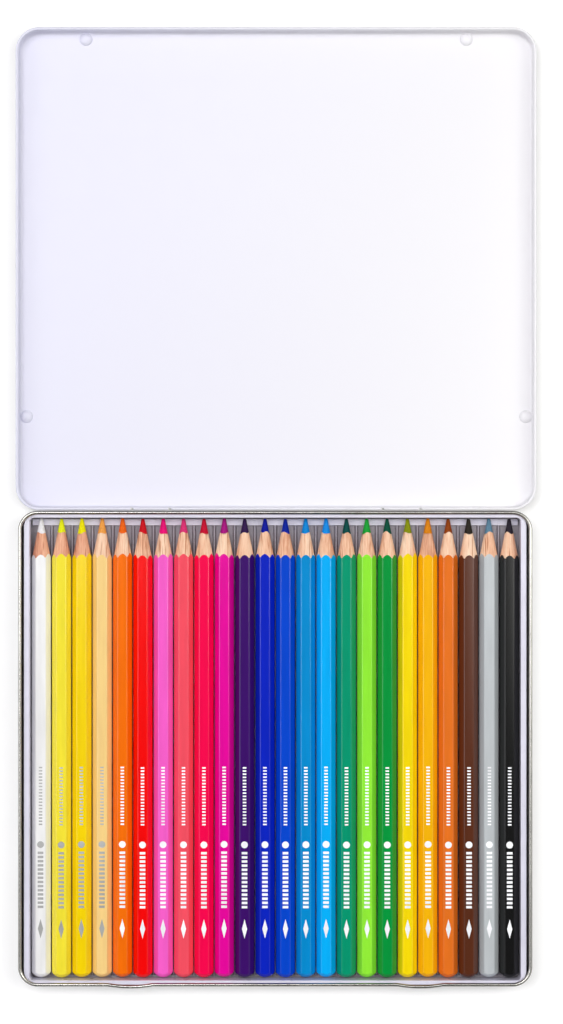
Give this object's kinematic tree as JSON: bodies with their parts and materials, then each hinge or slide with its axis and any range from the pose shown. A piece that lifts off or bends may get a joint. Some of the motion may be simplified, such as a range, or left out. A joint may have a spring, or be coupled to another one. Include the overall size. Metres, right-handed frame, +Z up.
{
  "type": "coloured pencil tin",
  "caption": "Flat hinged metal tin, open, with a row of sharpened hexagonal coloured pencils lying side by side in a formed plastic tray; the lid folds back flat.",
  "frame": {"origin": "middle of the base's underside, on the table", "axes": "+X to the right along the row of pencils, +Y from the front of the base towards the hinge and the open lid, +Z up"},
  "size_m": [0.1985, 0.3654, 0.012],
  "materials": {
    "tinplate": "bright rolled tinplate outside, white lacquer inside",
    "white_lacquer": "smooth white stove lacquer, satin gloss",
    "tray_plastic": "thin formed plastic sheet, pale grey with a lilac cast, glossy",
    "pin_steel": "drawn wire",
    "lacquer_white": "gloss lacquer on wood, bare wood on the sharpened cone",
    "lacquer_lemon": "gloss lacquer on wood, bare wood on the sharpened cone",
    "lacquer_yellow": "gloss lacquer on wood, bare wood on the sharpened cone",
    "lacquer_apricot": "gloss lacquer on wood, bare wood on the sharpened cone",
    "lacquer_orange": "gloss lacquer on wood, bare wood on the sharpened cone",
    "lacquer_red": "gloss lacquer on wood, bare wood on the sharpened cone",
    "lacquer_pink": "gloss lacquer on wood, bare wood on the sharpened cone",
    "lacquer_coral": "gloss lacquer on wood, bare wood on the sharpened cone",
    "lacquer_crimson": "gloss lacquer on wood, bare wood on the sharpened cone",
    "lacquer_magenta": "gloss lacquer on wood, bare wood on the sharpened cone",
    "lacquer_violet": "gloss lacquer on wood, bare wood on the sharpened cone",
    "lacquer_ultramarine": "gloss lacquer on wood, bare wood on the sharpened cone",
    "lacquer_blue": "gloss lacquer on wood, bare wood on the sharpened cone",
    "lacquer_cerulean": "gloss lacquer on wood, bare wood on the sharpened cone",
    "lacquer_sky_blue": "gloss lacquer on wood, bare wood on the sharpened cone",
    "lacquer_viridian": "gloss lacquer on wood, bare wood on the sharpened cone",
    "lacquer_lime": "gloss lacquer on wood, bare wood on the sharpened cone",
    "lacquer_green": "gloss lacquer on wood, bare wood on the sharpened cone",
    "lacquer_olive_yellow": "gloss lacquer on wood, bare wood on the sharpened cone",
    "lacquer_golden": "gloss lacquer on wood, bare wood on the sharpened cone",
    "lacquer_sienna": "gloss lacquer on wood, bare wood on the sharpened cone",
    "lacquer_brown": "gloss lacquer on wood, bare wood on the sharpened cone",
    "lacquer_grey": "gloss lacquer on wood, bare wood on the sharpened cone",
    "lacquer_black": "gloss lacquer on wood, bare wood on the sharpened cone",
    "core_white": "waxy pigmented core, matt",
    "core_lemon": "waxy pigmented core, matt",
    "core_yellow": "waxy pigmented core, matt",
    "core_apricot": "waxy pigmented core, matt",
    "core_orange": "waxy pigmented core, matt",
    "core_red": "waxy pigmented core, matt",
    "core_pink": "waxy pigmented core, matt",
    "core_coral": "waxy pigmented core, matt",
    "core_crimson": "waxy pigmented core, matt",
    "core_magenta": "waxy pigmented core, matt",
    "core_violet": "waxy pigmented core, matt",
    "core_ultramarine": "waxy pigmented core, matt",
    "core_blue": "waxy pigmented core, matt",
    "core_cerulean": "waxy pigmented core, matt",
    "core_sky_blue": "waxy pigmented core, matt",
    "core_viridian": "waxy pigmented core, matt",
    "core_lime": "waxy pigmented core, matt",
    "core_green": "waxy pigmented core, matt",
    "core_olive_yellow": "waxy pigmented core, matt",
    "core_golden": "waxy pigmented core, matt",
    "core_sienna": "waxy pigmented core, matt",
    "core_brown": "waxy pigmented core, matt",
    "core_grey": "waxy pigmented core, matt",
    "core_black": "waxy pigmented core, matt"
  },
  "bodies": {
    "base": {"base_tin": "tinplate", "pencil_tray": "tray_plastic", "hinge_pin_left": "pin_steel", "hinge_pin_right": "pin_steel"},
    "lid": {"lid_tin": "white_lacquer"},
    "pencil_white": {"pencil_white_casing": "lacquer_white", "pencil_white_core": "core_white"},
    "pencil_lemon": {"pencil_lemon_casing": "lacquer_lemon", "pencil_lemon_core": "core_lemon"},
    "pencil_yellow": {"pencil_yellow_casing": "lacquer_yellow", "pencil_yellow_core": "core_yellow"},
    "pencil_apricot": {"pencil_apricot_casing": "lacquer_apricot", "pencil_apricot_core": "core_apricot"},
    "pencil_orange": {"pencil_orange_casing": "lacquer_orange", "pencil_orange_core": "core_orange"},
    "pencil_red": {"pencil_red_casing": "lacquer_red", "pencil_red_core": "core_red"},
    "pencil_pink": {"pencil_pink_casing": "lacquer_pink", "pencil_pink_core": "core_pink"},
    "pencil_coral": {"pencil_coral_casing": "lacquer_coral", "pencil_coral_core": "core_coral"},
    "pencil_crimson": {"pencil_crimson_casing": "lacquer_crimson", "pencil_crimson_core": "core_crimson"},
    "pencil_magenta": {"pencil_magenta_casing": "lacquer_magenta", "pencil_magenta_core": "core_magenta"},
    "pencil_violet": {"pencil_violet_casing": "lacquer_violet", "pencil_violet_core": "core_violet"},
    "pencil_ultramarine": {"pencil_ultramarine_casing": "lacquer_ultramarine", "pencil_ultramarine_core": "core_ultramarine"},
    "pencil_blue": {"pencil_blue_casing": "lacquer_blue", "pencil_blue_core": "core_blue"},
    "pencil_cerulean": {"pencil_cerulean_casing": "lacquer_cerulean", "pencil_cerulean_core": "core_cerulean"},
    "pencil_sky_blue": {"pencil_sky_blue_casing": "lacquer_sky_blue", "pencil_sky_blue_core": "core_sky_blue"},
    "pencil_viridian": {"pencil_viridian_casing": "lacquer_viridian", "pencil_viridian_core": "core_viridian"},
    "pencil_lime": {"pencil_lime_casing": "lacquer_lime", "pencil_lime_core": "core_lime"},
    "pencil_green": {"pencil_green_casing": "lacquer_green", "pencil_green_core": "core_green"},
    "pencil_olive_yellow": {"pencil_olive_yellow_casing": "lacquer_olive_yellow", "pencil_olive_yellow_core": "core_olive_yellow"},
    "pencil_golden": {"pencil_golden_casing": "lacquer_golden", "pencil_golden_core": "core_golden"},
    "pencil_sienna": {"pencil_sienna_casing": "lacquer_sienna", "pencil_sienna_core": "core_sienna"},
    "pencil_brown": {"pencil_brown_casing": "lacquer_brown", "pencil_brown_core": "core_brown"},
    "pencil_grey": {"pencil_grey_casing": "lacquer_grey", "pencil_grey_core": "core_grey"},
    "pencil_black": {"pencil_black_casing": "lacquer_black", "pencil_black_core": "core_black"}
  },
  "joints": [
    {"name": "lid_hinge", "type": "hinge", "parent": "base", "child": "lid", "pos_m": [0, 0.09102, 0.007], "axis": [-1, 0, 0], "range_deg": [-180, 0]},
    {"name": "lift_white", "type": "slide", "parent": "base", "child": "pencil_white", "axis": [0, 0, 1], "range_m": [0, 0.025]},
    {"name": "lift_lemon", "type": "slide", "parent": "base", "child": "pencil_lemon", "axis": [0, 0, 1], "range_m": [0, 0.025]},
    {"name": "lift_yellow", "type": "slide", "parent": "base", "child": "pencil_yellow", "axis": [0, 0, 1], "range_m": [0, 0.025]},
    {"name": "lift_apricot", "type": "slide", "parent": "base", "child": "pencil_apricot", "axis": [0, 0, 1], "range_m": [0, 0.025]},
    {"name": "lift_orange", "type": "slide", "parent": "base", "child": "pencil_orange", "axis": [0, 0, 1], "range_m": [0, 0.025]},
    {"name": "lift_red", "type": "slide", "parent": "base", "child": "pencil_red", "axis": [0, 0, 1], "range_m": [0, 0.025]},
    {"name": "lift_pink", "type": "slide", "parent": "base", "child": "pencil_pink", "axis": [0, 0, 1], "range_m": [0, 0.025]},
    {"name": "lift_coral", "type": "slide", "parent": "base", "child": "pencil_coral", "axis": [0, 0, 1], "range_m": [0, 0.025]},
    {"name": "lift_crimson", "type": "slide", "parent": "base", "child": "pencil_crimson", "axis": [0, 0, 1], "range_m": [0, 0.025]},
    {"name": "lift_magenta", "type": "slide", "parent": "base", "child": "pencil_magenta", "axis": [0, 0, 1], "range_m": [0, 0.025]},
    {"name": "lift_violet", "type": "slide", "parent": "base", "child": "pencil_violet", "axis": [0, 0, 1], "range_m": [0, 0.025]},
    {"name": "lift_ultramarine", "type": "slide", "parent": "base", "child": "pencil_ultramarine", "axis": [0, 0, 1], "range_m": [0, 0.025]},
    {"name": "lift_blue", "type": "slide", "parent": "base", "child": "pencil_blue", "axis": [0, 0, 1], "range_m": [0, 0.025]},
    {"name": "lift_cerulean", "type": "slide", "parent": "base", "child": "pencil_cerulean", "axis": [0, 0, 1], "range_m": [0, 0.025]},
    {"name": "lift_sky_blue", "type": "slide", "parent": "base", "child": "pencil_sky_blue", "axis": [0, 0, 1], "range_m": [0, 0.025]},
    {"name": "lift_viridian", "type": "slide", "parent": "base", "child": "pencil_viridian", "axis": [0, 0, 1], "range_m": [0, 0.025]},
    {"name": "lift_lime", "type": "slide", "parent": "base", "child": "pencil_lime", "axis": [0, 0, 1], "range_m": [0, 0.025]},
    {"name": "lift_green", "type": "slide", "parent": "base", "child": "pencil_green", "axis": [0, 0, 1], "range_m": [0, 0.025]},
    {"name": "lift_olive_yellow", "type": "slide", "parent": "base", "child": "pencil_olive_yellow", "axis": [0, 0, 1], "range_m": [0, 0.025]},
    {"name": "lift_golden", "type": "slide", "parent": "base", "child": "pencil_golden", "axis": [0, 0, 1], "range_m": [0, 0.025]},
    {"name": "lift_sienna", "type": "slide", "parent": "base", "child": "pencil_sienna", "axis": [0, 0, 1], "range_m": [0, 0.025]},
    {"name": "lift_brown", "type": "slide", "parent": "base", "child": "pencil_brown", "axis": [0, 0, 1], "range_m": [0, 0.025]},
    {"name": "lift_grey", "type": "slide", "parent": "base", "child": "pencil_grey", "axis": [0, 0, 1], "range_m": [0, 0.025]},
    {"name": "lift_black", "type": "slide", "parent": "base", "child": "pencil_black", "axis": [0, 0, 1], "range_m": [0, 0.025]}
  ]
}
